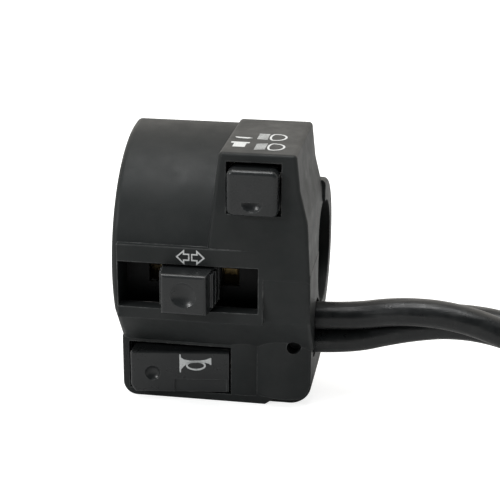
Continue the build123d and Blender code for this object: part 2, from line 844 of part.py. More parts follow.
def horn_button():
    """Horn paddle, hinged at its right end, with a dimple and two lugs."""
    low, top = horn_ends()
    plan = make_face(Polyline((horn_left, horn_face(horn_left)), (horn_right, horn_face(horn_right)),
                              (horn_right, horn_back), (horn_left, horn_back), close=True))
    body = extrude(Pos(0, 0, low) * plan, top - low)
    corner = make_face(Polyline((horn_left + horn_corner_wide, low), (horn_left + horn_corner_wide, low - overrun),
                                (horn_left - overrun, low - overrun), (horn_left - overrun, low + horn_corner_tall),
                                (horn_left, low + horn_corner_tall), close=True))
    body -= facing(corner, horn_face(horn_left) - overrun, horn_back + overrun)
    body = fillet([e for e in body.edges() if e.center().Y < plate_front + horn_round
                   and e.center().X < horn_right - horn_round], horn_round)
    facet_left = horn_left + (horn_right - horn_left) * horn_facet_from_share
    facet_top = low + (top - low) * horn_facet_top_share
    cut = make_face(Polyline((facet_left, horn_face(facet_left) - overrun),
                             (facet_left, horn_face(facet_left) + horn_facet),
                             (horn_right - horn_round, horn_face(horn_right) + horn_facet / 4),
                             (horn_right - horn_round, horn_face(horn_right) - overrun), close=True))
    body -= extrude(Pos(0, 0, low - overrun) * cut, facet_top - low + overrun)
    dimple_x = horn_left + (top - low) * horn_dimple_shares[0]
    dimple_z = low + (top - low) * horn_dimple_shares[1]
    lift = horn_dimple_radius - horn_dimple_depth
    body -= Pos(dimple_x, horn_face(dimple_x) - lift, dimple_z) * Sphere(horn_dimple_radius)
    body -= block(horn_left + 2 * shell_wall, pivot_x - 2 * lug_radius, horn_back - shell_wall / 4,
                  horn_back + overrun, low + shell_wall, top - shell_wall)
    for z_low, z_high in horn_lugs():
        body += rod_z(lug_radius, pivot_x, pivot_y, z_low, z_high)
        body += block(pivot_x - lug_radius, pivot_x + lug_radius / 2, horn_back - shell_wall / 2, pivot_y,
                      z_low, z_high)
    body -= rod_z(pivot_radius + pivot_clear, pivot_x, pivot_y, low - overrun, top + overrun)
    return body + rod_y(plunger_radius, horn_plunger_x(), horn_middle(), horn_back - shell_wall, plunger_tip)


def horn_plunger_x():
    """Place of the horn plunger along X."""
    return horn_left + (horn_right - horn_left) * horn_plunger_share


def horn_lugs():
    """Low and high ends of the two hinge lugs."""
    low, top = horn_ends()
    low, top = low + 2 * horn_gap, top - 2 * horn_gap
    tall = (top - low) / 5
    return [(low, low + tall), (top - tall, top)]


def horn_pivot_pin():
    """Steel pin that the horn paddle turns on."""
    return rod_z(pivot_radius, pivot_x, pivot_y, horn_opening_low - shell_wall / 8, horn_opening_top + shell_wall / 2)


def horn_base():
    """Insulating base of the horn switch, with the bearer for the pivot pin."""
    low, top = horn_ends()
    back = horn_base_front + horn_base_thick
    body = block(horn_left + shell_wall, pivot_x + lug_radius, horn_base_front, back, low, top)
    (first_low, first_high), (second_low, second_high) = horn_lugs()
    body += block(pivot_x - lug_radius, pivot_x + lug_radius, pivot_y - pivot_radius - bearer_wall, back,
                  first_high + horn_gap, second_low - horn_gap)
    body -= rod_z(pivot_radius, pivot_x, pivot_y, low - overrun, top + overrun)
    return body


def horn_spring():
    """Return spring of the horn paddle."""
    x = horn_left + (horn_right - horn_left) * horn_spring_share
    middle = horn_middle()
    start = horn_back - shell_wall / 4
    spring = helix_spring(horn_spring_radius, horn_wire, horn_base_front - start, 5)
    return Pos(x, horn_base_front, middle) * Rot(90, 0, 0) * spring


def horn_contact_leaf():
    """Brass leaf that the plunger presses."""
    middle = horn_middle()
    x = horn_plunger_x()
    far = plunger_tip + 2 * plunger_radius
    leaf = block(x - 2 * plunger_radius, x + 2 * plunger_radius, far, far + contact_thick,
                 middle - plunger_radius, middle + plunger_radius)
    return leaf + block(x + 2 * plunger_radius - contact_thick, x + 2 * plunger_radius, far, horn_base_front,
                        middle - plunger_radius, middle + plunger_radius)


def horn_fixed_contact():
    """Rivet that the horn leaf meets."""
    middle = horn_middle()
    x = horn_plunger_x()
    head = rod_y(plunger_radius, x, middle, horn_base_front - contact_thick, horn_base_front)
    return head


def earth_strip(gap):
    """Curved strip (y, z) on the bore's wall near the cable end."""
    inner = bore_radius
    outer = inner + earth_thick + gap
    a, b = earth_angle_from, earth_angle_to
    middle = (a + b) / 2
    face = filled(ThreePointArc(arc_at((0, 0), inner, a), arc_at((0, 0), inner, middle), arc_at((0, 0), inner, b)),
                  Line(arc_at((0, 0), inner, b), arc_at((0, 0), outer, b)),
                  ThreePointArc(arc_at((0, 0), outer, b), arc_at((0, 0), outer, middle), arc_at((0, 0), outer, a)),
                  Line(arc_at((0, 0), outer, a), arc_at((0, 0), inner, a)))
    return across(face, earth_start, end_right - shell_wall / 8)


def earth_leaf():
    """Brass earth leaf that lies on the bore's wall."""
    return earth_strip(0)


def cable_grommet():
    """Rubber filler round the three sleeves in the exit."""
    body = across(exit_hull(exit_margin), cavity_right, box_right - shell_wall / 8)
    for sleeve in sleeves.values():
        body -= rod_x(sleeve_radius, cavity_right - overrun, end_right + overrun, *sleeve["at"])
    return body


def clamp_lug_level():
    """Height of the cable clamp's screw."""
    return min(s["at"][1] for s in sleeves.values()) - sleeve_radius - clamp_thick - small_head_radius


def cable_clamp():
    """Metal strap round the sleeves, with a lug for its screw."""
    strap = across(exit_hull(clamp_thick), clamp_x, clamp_x + clamp_width)
    strap -= across(exit_hull(0), clamp_x - overrun, clamp_x + clamp_width + overrun)
    y, z = sleeves["lower"]["at"]
    level = clamp_lug_level()
    lug = block(clamp_x, clamp_x + clamp_width, y - clamp_thick / 2, y + clamp_thick / 2,
                level - small_head_radius, z - sleeve_radius)
    lug -= rod_y(small_screw_radius, clamp_x + clamp_width / 2, level, y - overrun, y + overrun)
    return strap + lug


def clamp_screw():
    """Small screw through the cable clamp's lug."""
    y = sleeves["lower"]["at"][0] - clamp_thick / 2
    x = clamp_x + clamp_width / 2
    level = clamp_lug_level()
    head = rod_y(small_head_radius, x, level, y - small_head_height, y)
    return head + rod_y(small_screw_radius, x, level, y - small_head_height, y + 2 * small_head_radius)


def sleeve_tube(name):
    """Free stretch of a sleeve, from the clamp to the coil."""
    sleeve = sleeves[name]
    y, z = sleeve["at"]
    points = [Vector(sleeve_inner_end, y, z)] + [Vector(*p) for p in sleeve["route"]]
    points.append(coil_place(name, coil_start_share))
    radii = []
    for a, b, c in zip(points, points[1:], points[2:]):
        turn = math.radians((b - a).get_angle(c - b))
        run = min((b - a).length, (c - b).length)
        radii.append(min(bend_share * run / math.tan(turn / 2), widest_bend_share * sleeve_radius))
    path = FilletPolyline(*points, radius=radii)
    print("sleeve", name, "radii", [round(r, 1) for r in radii], "length", round(path.length, 1))
    return sweep(Plane(points[0], z_dir=(points[1] - points[0]).normalized()) * Circle(sleeve_radius), path)


def coil_radius(name):
    """Radius of a sleeve's turns in the coil."""
    return coil_middle_radius + coil_pitch * sleeves[name]["ring"]


def coil_level(t):
    """Height of the coil after t turns."""
    share = (t - descent_from_share) / (descent_to_share - descent_from_share)
    share = min(max(share, 0), 1)
    return level_high - (level_high - level_low) * (1 - math.cos(math.pi * share)) / 2


def coil_place(name, t):
    """Point of the coil after t turns."""
    a = 2 * math.pi * t - math.pi / 2
    radius = coil_radius(name)
    return Vector(coil_x + radius * math.cos(a), coil_y + radius * math.sin(a), coil_level(t))


def coil_way(name, t):
    """Direction of the coil after t turns."""
    step = 1 / 1024
    rise = (coil_level(t + step) - coil_level(t - step)) / (2 * step)
    a = 2 * math.pi * t - math.pi / 2
    round_trip = 2 * math.pi * coil_radius(name)
    return Vector(-math.sin(a), math.cos(a), rise / round_trip).normalized()


def coil_tail(name):
    """Straight length that carries the plug clear of the coil."""
    inner = coil_radius(name) - connector_width / 2
    return math.sqrt(connector_reach**2 - inner**2)


def sleeve_coil(name):
    """Tied turns of a sleeve and its straight end."""
    sleeve = sleeves[name]
    turns = sleeve["turns"]
    edges = wound_path(lambda t: coil_place(name, coil_start_share + t),
                       lambda t: coil_way(name, coil_start_share + t), turns - coil_start_share)
    finish = coil_place(name, turns)
    edges.append(Line(finish, finish + coil_way(name, turns) * coil_tail(name)))
    path = Wire(edges)
    start = coil_place(name, coil_start_share)
    print("coil", name, "length", round(path.length, 1), "least gap", round(least_gap(name), 2))
    return sweep(Plane(start, z_dir=coil_way(name, coil_start_share)) * Circle(sleeve_radius), path)


def coil_points(name):
    """Points along the coil and its tail, for measuring."""
    sleeve = sleeves[name]
    steps = 240
    whole = sleeve["turns"] - coil_start_share
    points = [coil_place(name, coil_start_share + whole * i / steps) for i in range(steps + 1)]
    way = coil_way(name, sleeve["turns"])
    tail = coil_tail(name)
    return points + [points[-1] + way * (tail * i / steps) for i in range(1, steps + 1)]


def least_gap(name):
    """Least gap between the coil's turns and those of every sleeve."""
    mine = coil_points(name)
    best = math.inf
    for other in sleeves:
        theirs = coil_points(other)
        for i, p in enumerate(mine[::4]):
            for j, q in enumerate(theirs[::4]):
                apart = other != name or abs(i - j) > 60
                if apart:
                    best = min(best, (p - q).length)
    return best - 2 * sleeve_radius


def connector_frame(name):
    """Plane at the mouth of a sleeve's end, +Z along the connector."""
    sleeve = sleeves[name]
    way = coil_way(name, sleeve["turns"])
    end = coil_place(name, sleeve["turns"]) + way * coil_tail(name)
    origin = Vector(end.X, end.Y, base + connector_height / 2)
    return Plane(origin, x_dir=(0, 0, 1), z_dir=way)


def connector(name):
    """Moulded plug housing with a latch and an open mouth."""
    body = Box(connector_height, connector_width, connector_length,
               align=(Align.CENTER, Align.CENTER, Align.MIN))
    body = fillet(body.edges().filter_by(Axis.Z), connector_wall / 2)
    body -= Pos(0, 0, connector_length - connector_mouth) * Box(
        connector_height - 2 * connector_wall, connector_width - 2 * connector_wall,
        connector_mouth + overrun, align=(Align.CENTER, Align.CENTER, Align.MIN))
    latch = Pos(connector_height / 2, 0, connector_length / 4) * Box(
        connector_wall, connector_width / 3, connector_length / 2,
        align=(Align.CENTER, Align.CENTER, Align.MIN))
    return connector_frame(name) * (body + latch)


def connector_pins(name):
    """Brass pins that stand in the mouth of a plug housing."""
    pins = []
    for row in range(pin_rows):
        for column in range(pin_columns):
            x = (row - (pin_rows - 1) / 2) * connector_height / 3
            y = (column - (pin_columns - 1) / 2) * connector_width / 4
            pins.append(connector_frame(name) * Pos(x, y, connector_length - connector_mouth) * Box(
                pin_side, pin_side, connector_mouth - connector_wall,
                align=(Align.CENTER, Align.CENTER, Align.MIN)))
    return Compound(pins)


def coil_tie():
    """Closed band that holds the three sleeves of the coil side by side."""
    rings = list(sleeves)
    middle = coil_place("lower", tie_at_share)
    way = coil_way("lower", tie_at_share)
    a = 2 * math.pi * tie_at_share - math.pi / 2
    frame = Plane(middle, x_dir=(math.cos(a), math.sin(a), 0), z_dir=way)
    long = (len(rings) - 1) * coil_pitch
    inner = SlotCenterToCenter(long, 2 * (sleeve_radius + slide_gap))
    outer = SlotCenterToCenter(long, 2 * (sleeve_radius + slide_gap + tie_thick))
    band = extrude(outer - inner, tie_width / 2, both=True)
    head = Pos(0, sleeve_radius + slide_gap + tie_thick, 0) * Box(
        tie_width * tie_head_share, tie_thick * 2, tie_width * tie_head_share)
    head -= Pos(0, sleeve_radius + slide_gap, 0) * Box(tie_width * 2, tie_thick, tie_width * 2)
    return frame * (band + head)


pieces = {
    "front_shell": front_shell,
    "rear_shell": rear_shell,
    "shell_screws": shell_screws,
    "turn_guide_plate": turn_guide_plate,
    "turn_carriage": turn_carriage,
    "turn_knob": turn_knob,
    "turn_cancel_spring": turn_cancel_spring,
    "turn_detent_ball": turn_detent_ball,
    "turn_detent_spring": turn_detent_spring,
    "turn_contact_bridge": turn_contact_bridge,
    "turn_contact_board": turn_contact_board,
    "turn_fixed_contacts": turn_fixed_contacts,
    "dimmer_button": dimmer_button,
    "dimmer_case": dimmer_case,
    "dimmer_terminals": dimmer_terminals,
    "dimmer_contact": dimmer_contact,
    "dimmer_spring": dimmer_spring,
    "dimmer_latch_wire": dimmer_latch_wire,
    "horn_button": horn_button,
    "horn_pivot_pin": horn_pivot_pin,
    "horn_base": horn_base,
    "horn_spring": horn_spring,
    "horn_contact_leaf": horn_contact_leaf,
    "horn_fixed_contact": horn_fixed_contact,
    "earth_leaf": earth_leaf,
    "cable_grommet": cable_grommet,
    "cable_clamp": cable_clamp,
    "clamp_screw": clamp_screw,
    "coil_tie": coil_tie,
}
for node, build in pieces.items():
    export_step(build(), f"parts/{node}.step")
for name in sleeves:
    export_step(sleeve_tube(name), f"parts/sleeve_{name}.step")
    export_step(sleeve_coil(name), f"parts/coil_{name}.step")
    export_step(connector(name), f"parts/connector_{name}.step")
    export_step(connector_pins(name), f"parts/connector_pins_{name}.step")
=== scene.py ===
"""Switch cluster for the left side of a handlebar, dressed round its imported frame."""

import json
import logging
import math
from collections.abc import Sequence
from dataclasses import dataclass
from enum import Enum

import bmesh
import bpy
from mathutils import Matrix, Vector


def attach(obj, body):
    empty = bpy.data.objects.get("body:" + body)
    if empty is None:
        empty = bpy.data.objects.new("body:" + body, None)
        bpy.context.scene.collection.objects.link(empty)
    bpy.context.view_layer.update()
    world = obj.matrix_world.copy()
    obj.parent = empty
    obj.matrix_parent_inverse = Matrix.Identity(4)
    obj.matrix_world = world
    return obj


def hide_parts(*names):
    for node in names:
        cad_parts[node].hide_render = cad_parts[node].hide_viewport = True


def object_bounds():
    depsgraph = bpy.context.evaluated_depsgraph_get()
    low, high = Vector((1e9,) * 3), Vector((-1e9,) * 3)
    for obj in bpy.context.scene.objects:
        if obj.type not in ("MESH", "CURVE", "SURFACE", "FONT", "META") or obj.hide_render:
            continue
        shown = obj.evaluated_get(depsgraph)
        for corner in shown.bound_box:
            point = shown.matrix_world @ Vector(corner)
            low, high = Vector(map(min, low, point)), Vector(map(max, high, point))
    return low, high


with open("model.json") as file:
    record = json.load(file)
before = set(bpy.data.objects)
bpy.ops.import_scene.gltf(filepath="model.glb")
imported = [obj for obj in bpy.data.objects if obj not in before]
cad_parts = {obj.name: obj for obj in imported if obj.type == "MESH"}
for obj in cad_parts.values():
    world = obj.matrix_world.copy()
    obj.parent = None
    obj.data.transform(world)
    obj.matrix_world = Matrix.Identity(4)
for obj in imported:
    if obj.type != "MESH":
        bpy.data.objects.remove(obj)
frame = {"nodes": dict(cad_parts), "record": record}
cad_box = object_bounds()

LOG = logging.getLogger("switch_cluster")
MM = 0.001
HOUSING = "housing"
PADDLE = "horn_paddle"
BEVEL_SAMPLES = 6

# Cosine between the flat and the rounded normal, away from an edge and on it
EDGE_COSINES = (0.99, 0.80)

Colour = tuple[float, float, float]
Place = tuple[float, float, float]
Pair = tuple[float, float]
Outline = Sequence[Pair]


def add(name: str, data: bpy.types.ID) -> bpy.types.Object:
    """Makes an object of a mesh, curve, lamp or camera and links it into the scene.

    Args:
        name: The object's name.
        data: What it shows.

    Returns:
        The object.
    """
    made = bpy.data.objects.new(name, data)
    bpy.context.scene.collection.objects.link(made)
    return made


def aim(made: bpy.types.Object, place: Vector) -> None:
    """Sets a lamp or camera at a place and turns it towards the frame's origin.

    Args:
        made: The lamp or camera.
        place: Where it goes, in metres.
    """
    made.location = place
    made.rotation_mode = "QUATERNION"
    made.rotation_quaternion = (-place).to_track_quat("-Z", "Y")


class Drawn(Enum):
    """Direction that a noise is drawn out along, as its scale on each axis."""

    EVENLY = (1.0, 1.0, 1.0)
    ALONG_X = (0.06, 1.0, 1.0)


@dataclass(frozen=True)
class Noise:
    """Noise over a piece's own place.

    Attributes:
        size: Size of its patches in millimetres.
        detail: Octaves of finer noise.
        rough: Share that each octave keeps.
        ends: Values that count as none and as full where it covers a surface.
        drawn: Direction that the patches are drawn out along.
    """

    size: float
    detail: float = 2.0
    rough: float = 0.6
    ends: Pair = (0.3, 0.7)
    drawn: Drawn = Drawn.EVENLY


class Graph:
    """Short way to wire one tree of shader nodes."""

    def __init__(self, tree: bpy.types.NodeTree) -> None:
        """Takes the tree to wire."""
        self.tree = tree

    def node(self, kind: str, **settings: object) -> bpy.types.Node:
        """Adds a node.

        Args:
            kind: Blender's name of the node type.
            **settings: Properties to set on it.

        Returns:
            The node.
        """
        made = self.tree.nodes.new(kind)
        for key, value in settings.items():
            setattr(made, key, value)
        return made

    def join(self, out: bpy.types.NodeSocket, into: bpy.types.NodeSocket) -> None:
        """Links two sockets."""
        self.tree.links.new(out, into)

    def seen(self) -> bpy.types.NodeSocket:
        """Gives 1 for a ray that comes straight from the camera, and 0 for every other."""
        return self.node("ShaderNodeLightPath").outputs["Is Camera Ray"]

    def noise(self, noise: Noise) -> bpy.types.NodeSocket:
        """Adds a noise.

        Args:
            noise: Its sizes.

        Returns:
            A value from 0 to 1.
        """
        place = self.node("ShaderNodeTexCoord").outputs["Object"]
        if noise.drawn is not Drawn.EVENLY:
            stretch = self.node("ShaderNodeMapping")
            stretch.inputs["Scale"].default_value = noise.drawn.value
            self.join(place, stretch.inputs["Vector"])
            place = stretch.outputs["Vector"]
        made = self.node("ShaderNodeTexNoise")
        made.inputs["Scale"].default_value = 1.0 / (noise.size * MM)
        made.inputs["Detail"].default_value = noise.detail
        made.inputs["Roughness"].default_value = noise.rough
        self.join(place, made.inputs["Vector"])
        return made.outputs["Fac"]

    def span(self, value: bpy.types.NodeSocket, source: Pair, target: Pair) -> bpy.types.NodeSocket:
        """Carries a value from one range to another, clamped.

        Args:
            value: What to carry over.
            source: Its low and high ends.
            target: What they become.

        Returns:
            The new value.
        """
        made = self.node("ShaderNodeMapRange")
        for name, number in zip(("From Min", "From Max", "To Min", "To Max"), source + target):
            made.inputs[name].default_value = number
        self.join(value, made.inputs["Value"])
        return made.outputs["Result"]

    def cover(self, noise: Noise, target: Pair = (0.0, 1.0)) -> bpy.types.NodeSocket:
        """Spreads a noise over the surface.

        Args:
            noise: The noise.
            target: What its ends become.

        Returns:
            The value at each place.
        """
        return self.span(self.noise(noise), noise.ends, target)

    def combine(self, operation: str, a: bpy.types.NodeSocket,
                b: bpy.types.NodeSocket) -> bpy.types.NodeSocket:
        """Puts two values together.

        Args:
            operation: Blender's name of the operation.
            a: The first value.
            b: The second value.

        Returns:
            The outcome.
        """
        made = self.node("ShaderNodeMath", operation=operation)
        self.join(a, made.inputs[0])
        self.join(b, made.inputs[1])
        return made.outputs[0]

    def blend(self, share: bpy.types.NodeSocket, first: object, second: object) -> bpy.types.NodeSocket:
        """Mixes two colours.

        Args:
            share: How much of the second shows.
            first: A colour, or a socket that gives one.
            second: A colour, or a socket that gives one.

        Returns:
            The mixed colour.
        """
        made = self.node("ShaderNodeMix", data_type="RGBA")
        self.join(share, made.inputs["Factor"])
        for side, colour in (("A", first), ("B", second)):
            into = next(s for s in made.inputs if s.name == side and s.type == "RGBA")
            if isinstance(colour, bpy.types.NodeSocket):
                self.join(colour, into)
            else:
                into.default_value = (*colour, 1.0)
        return next(s for s in made.outputs if s.type == "RGBA")


class Skin(Graph):
    """Node tree of one new material, wired into its shader."""

    def __init__(self, name: str) -> None:
        """Starts the material.

        Args:
            name: The material's name.
        """
        self.material = bpy.data.materials.new(name)
        self.material.use_nodes = True
        super().__init__(self.material.node_tree)
        self.shader = self.tree.nodes["Principled BSDF"]

    def rounded(self, radius: float) -> bpy.types.NodeSocket:
        """Rounds sharp edges in the shading.

        Args:
            radius: Radius of the edges in millimetres.

        Returns:
            The normal.
        """
        made = self.node("ShaderNodeBevel", samples=BEVEL_SAMPLES)
        made.inputs["Radius"].default_value = radius * MM
        return made.outputs["Normal"]

    def edges(self, radius: float) -> bpy.types.NodeSocket:
        """Tells how near an edge a point is.

        Args:
            radius: How far the edge reaches, in millimetres.

        Returns:
            1 on an edge and 0 away from it.
        """
        flat = self.node("ShaderNodeNewGeometry").outputs["Normal"]
        cosine = self.node("ShaderNodeVectorMath", operation="DOT_PRODUCT")
        self.join(self.rounded(radius), cosine.inputs[0])
        self.join(flat, cosine.inputs[1])
        return self.span(cosine.outputs["Value"], EDGE_COSINES, (0.0, 1.0))

    def bump(self, noise: Noise, depth: float,
             under: bpy.types.NodeSocket | None = None) -> bpy.types.NodeSocket:
        """Raises the surface by a noise.

        Args:
            noise: The noise.
            depth: Its full height in millimetres.
            under: The normal that it changes, if any.

        Returns:
            The new normal.
        """
        made = self.node("ShaderNodeBump")
        made.inputs["Distance"].default_value = depth * MM
        self.join(self.noise(noise), made.inputs["Height"])
        if under is not None:
            self.join(under, made.inputs["Normal"])
        return made.outputs["Normal"]

    def put(self, **sockets: object) -> bpy.types.Material:
        """Sets or links the shader's sockets.

        Args:
            **sockets: A value or a socket for each, named with underscores for spaces.

        Returns:
            The material.
        """
        for key, value in sockets.items():
            into = self.shader.inputs[key.replace("_", " ")]
            if isinstance(value, bpy.types.NodeSocket):
                self.join(value, into)
            else:
                into.default_value = value
        return self.material


@dataclass(frozen=True)
class MouldedPlastic:
    """Moulded plastic with a fine spark-eroded grain, and edges lightened partly by scuffing and partly by a
    painted highlight.

    Attributes:
        name: The slot that it is for.
        colour: Its colour where it is new.
        faded: Its colour where it has faded.
        edge_wear_and_highlight_colour: Its colour on edges, lighter for scuffing and as a painted highlight
            along them.
        roughness: Roughness where it shines most and least.
        specular: Strength of its reflection.
        grain: The spark-eroded grain.
        grain_depth: Depth of the grain in millimetres.
        edge: Radius of its sharp edges in millimetres.
        lighter_edge_reach: How far the lighter edge colour goes from an edge, in such radii.
        patches: Where it has faded.
        specks: Small faded spots.
        speck_share: How far the spots fade it.
        rubbing: Where the edges are rubbed, which is also where the painted highlight shows.
        rubbed: How much the least and the most rubbed edges show, painted highlight included.
        sheen: Where it is rougher.
    """

    name: str
    colour: Colour
    faded: Colour
    edge_wear_and_highlight_colour: Colour
    roughness: Pair = (0.42, 0.56)
    specular: float = 0.22
    grain: Noise = Noise(0.22)
    grain_depth: float = 0.012
    edge: float = 0.22
    lighter_edge_reach: float = 2.0
    patches: Noise = Noise(9.0, 4.0, ends=(0.35, 0.68))
    specks: Noise = Noise(0.9, 3.0, 0.7, (0.60, 0.74))
    speck_share: float = 0.55
    rubbing: Noise = Noise(2.4, 4.0, 0.7, (0.40, 0.62))
    rubbed: Pair = (0.15, 1.0)
    sheen: Noise = Noise(5.0, 5.0, 0.65)

    def build(self) -> bpy.types.Material:
        """Makes the material."""
        g = Skin(self.name)
        aged = g.blend(g.cover(self.patches), self.colour, self.faded)
        aged = g.blend(g.cover(self.specks, (0.0, self.speck_share)), aged, self.faded)
        # Lighter edges: partly scuffing, partly a painted highlight along the rounded edges.
        wear_and_highlight_mask = g.combine("MULTIPLY", g.edges(self.lighter_edge_reach * self.edge), g.cover(self.rubbing, self.rubbed))
        return g.put(Base_Color=g.blend(wear_and_highlight_mask, aged, self.edge_wear_and_highlight_colour),
                     Roughness=g.cover(self.sheen, self.roughness),
                     Specular_IOR_Level=self.specular,
                     Normal=g.bump(self.grain, self.grain_depth, g.rounded(self.edge)))


@dataclass(frozen=True)
class Metal:
    """Stamped, drawn or plated metal with a fine grain and a light tarnish.

    Attributes:
        name: The slot that it is for.
        colour: Its colour where it is clean.
        tarnish: Its colour where it is stained.
        roughness: Roughness where it shines most and least.
        stain: Where it is stained.
        stain_share: How far the stain covers it.
        sheen: Where it is rougher.
        grain: Its fine grain.
        grain_depth: Depth of the grain in millimetres.
        edge: Radius of its sharp edges in millimetres.
    """

    name: str
    colour: Colour
    tarnish: Colour
    roughness: Pair
    stain: Noise = Noise(1.6, 5.0, 0.65, (0.42, 0.70))
    stain_share: float = 0.8
    sheen: Noise = Noise(0.8, 4.0)
    grain: Noise = Noise(0.12)
    grain_depth: float = 0.006
    edge: float = 0.08

    def build(self) -> bpy.types.Material:
        """Makes the material."""
        g = Skin(self.name)
        stain = g.cover(self.stain, (0.0, self.stain_share))
        return g.put(Base_Color=g.blend(stain, self.colour, self.tarnish),
                     Metallic=1.0,
                     Roughness=g.cover(self.sheen, self.roughness),
                     Normal=g.bump(self.grain, self.grain_depth, g.rounded(self.edge)))


@dataclass(frozen=True)
class Vinyl:
    """Soft sleeve of extruded vinyl: glossy, with long shallow creases and dust.

    Attributes:
        name: The slot that it is for.
        colour: Its colour where it is clean.
        dust: Its colour under dust.
        roughness: Roughness where it shines most and least.
        specular: Strength of its reflection.
        film: Where the dust lies.
        film_share: How far the dust covers it.
        sheen: Where it is rougher.
        creases: Its long creases.
        crease_depth: Depth of the creases in millimetres.
        grain: Its fine grain.
        grain_depth: Depth of the grain in millimetres.
    """

    name: str
    colour: Colour
    dust: Colour
    roughness: Pair = (0.24, 0.44)
    specular: float = 0.32
    film: Noise = Noise(3.0, 5.0, 0.7, (0.48, 0.75))
    film_share: float = 0.7
    sheen: Noise = Noise(2.0, 4.0)
    creases: Noise = Noise(3.2, rough=0.5, drawn=Drawn.ALONG_X)
    crease_depth: float = 0.42
    grain: Noise = Noise(0.5, 3.0)
    grain_depth: float = 0.03

    def build(self) -> bpy.types.Material:
        """Makes the material."""
        g = Skin(self.name)
        film = g.cover(self.film, (0.0, self.film_share))
        return g.put(Base_Color=g.blend(film, self.colour, self.dust),
                     Roughness=g.cover(self.sheen, self.roughness),
                     Specular_IOR_Level=self.specular,
                     Normal=g.bump(self.grain, self.grain_depth, g.bump(self.creases, self.crease_depth)))


@dataclass(frozen=True)
class Ink:
    """Pad-printed pale ink, thin and slightly uneven.

    Attributes:
        name: The material's name.
        colour: Its colour where it covers.
        thin: Its colour where what is under it shows through.
        roughness: Roughness where it shines most and least.
        specular: Strength of its reflection.
        pores: Where it is thin.
        pore_share: How far it thins there.
        sheen: Where it is rougher.
        grain: Its fine grain.
        grain_depth: Depth of the grain in millimetres.
    """

    name: str
    colour: Colour
    thin: Colour
    roughness: Pair = (0.45, 0.65)
    specular: float = 0.3
    pores: Noise = Noise(0.30, 4.0, 0.75, (0.50, 0.72))
    pore_share: float = 0.9
    sheen: Noise = Noise(0.5, 3.0)
    grain: Noise = Noise(0.2, rough=0.5)
    grain_depth: float = 0.008

    def build(self) -> bpy.types.Material:
        """Makes the material."""
        g = Skin(self.name)
        pores = g.cover(self.pores, (0.0, self.pore_share))
        return g.put(Base_Color=g.blend(pores, self.colour, self.thin),
                     Roughness=g.cover(self.sheen, self.roughness),
                     Specular_IOR_Level=self.specular,
                     Normal=g.bump(self.grain, self.grain_depth))


FINISHES = (
    # The shell's edge colour is far lighter than its body: painted highlight lines along its edges, with some
    # scuffing.
    MouldedPlastic("shell_plastic", (0.0098, 0.0116, 0.0118), (0.0158, 0.0172, 0.0172),
                   (0.110, 0.113, 0.112)),
    MouldedPlastic("button_plastic", (0.0125, 0.0137, 0.0142), (0.0180, 0.0190, 0.0197),
                   (0.095, 0.098, 0.098), roughness=(0.24, 0.36), specular=0.34, grain=Noise(0.16),
                   grain_depth=0.008, edge=0.18),
    # Slider plastic is much darker than the shell: painted shade for the dim inside of the turn signal
    # window.
    MouldedPlastic("slider_plastic", (0.0040, 0.0044, 0.0048), (0.0065, 0.0068, 0.0072),
                   (0.022, 0.022, 0.022), roughness=(0.40, 0.55), specular=0.12),
    MouldedPlastic("insulator", (0.26, 0.18, 0.09), (0.33, 0.24, 0.13), (0.42, 0.33, 0.20),
                   roughness=(0.50, 0.65), grain=Noise(0.5), grain_depth=0.02, edge=0.08),
    MouldedPlastic("switch_nylon", (0.62, 0.60, 0.52), (0.68, 0.66, 0.58), (0.75, 0.74, 0.68),
                   roughness=(0.40, 0.52), grain_depth=0.006, edge=0.10),
    MouldedPlastic("connector_nylon", (0.63, 0.62, 0.56), (0.70, 0.69, 0.63), (0.78, 0.77, 0.72),
                   roughness=(0.34, 0.48), grain_depth=0.006, edge=0.15),
    MouldedPlastic("tie_nylon", (0.013, 0.013, 0.014), (0.020, 0.020, 0.020), (0.05, 0.05, 0.05),
                   roughness=(0.32, 0.46), edge=0.12),
    MouldedPlastic("seal_rubber", (0.012, 0.012, 0.012), (0.019, 0.018, 0.018), (0.030, 0.030, 0.030),
                   roughness=(0.62, 0.78), specular=0.25, grain=Noise(0.4)),
    # Brass, clean and tarnished alike, is dimmed as painted shade for the contacts seen through the turn
    # signal slot.
    Metal("brass", (0.52, 0.38, 0.17), (0.15, 0.105, 0.05), (0.30, 0.50)),
    Metal("zinc_steel", (0.60, 0.60, 0.57), (0.38, 0.37, 0.34), (0.28, 0.48)),
    Metal("spring_steel", (0.48, 0.48, 0.48), (0.28, 0.27, 0.26), (0.20, 0.36)),
    Vinyl("sleeve_vinyl", (0.0060, 0.0066, 0.0070), (0.017, 0.018, 0.018)),
    Ink("print_ink", (0.56, 0.57, 0.57), (0.33, 0.34, 0.34)),
)
MATERIALS = {finish.name: finish.build() for finish in FINISHES}


@dataclass(frozen=True)
class Lamp:
    """Soft square lamp that faces the object.

    Attributes:
        name: Its name.
        place: Where it hangs, in metres.
        size: Its side in metres.
        power: Its power in watts.
    """

    name: str
    place: Place
    size: float
    power: float

    def build(self) -> None:
        """Hangs the lamp."""
        data = bpy.data.lights.new(self.name, "AREA")
        data.size = self.size
        data.energy = self.power
        aim(add(self.name, data), Vector(self.place))


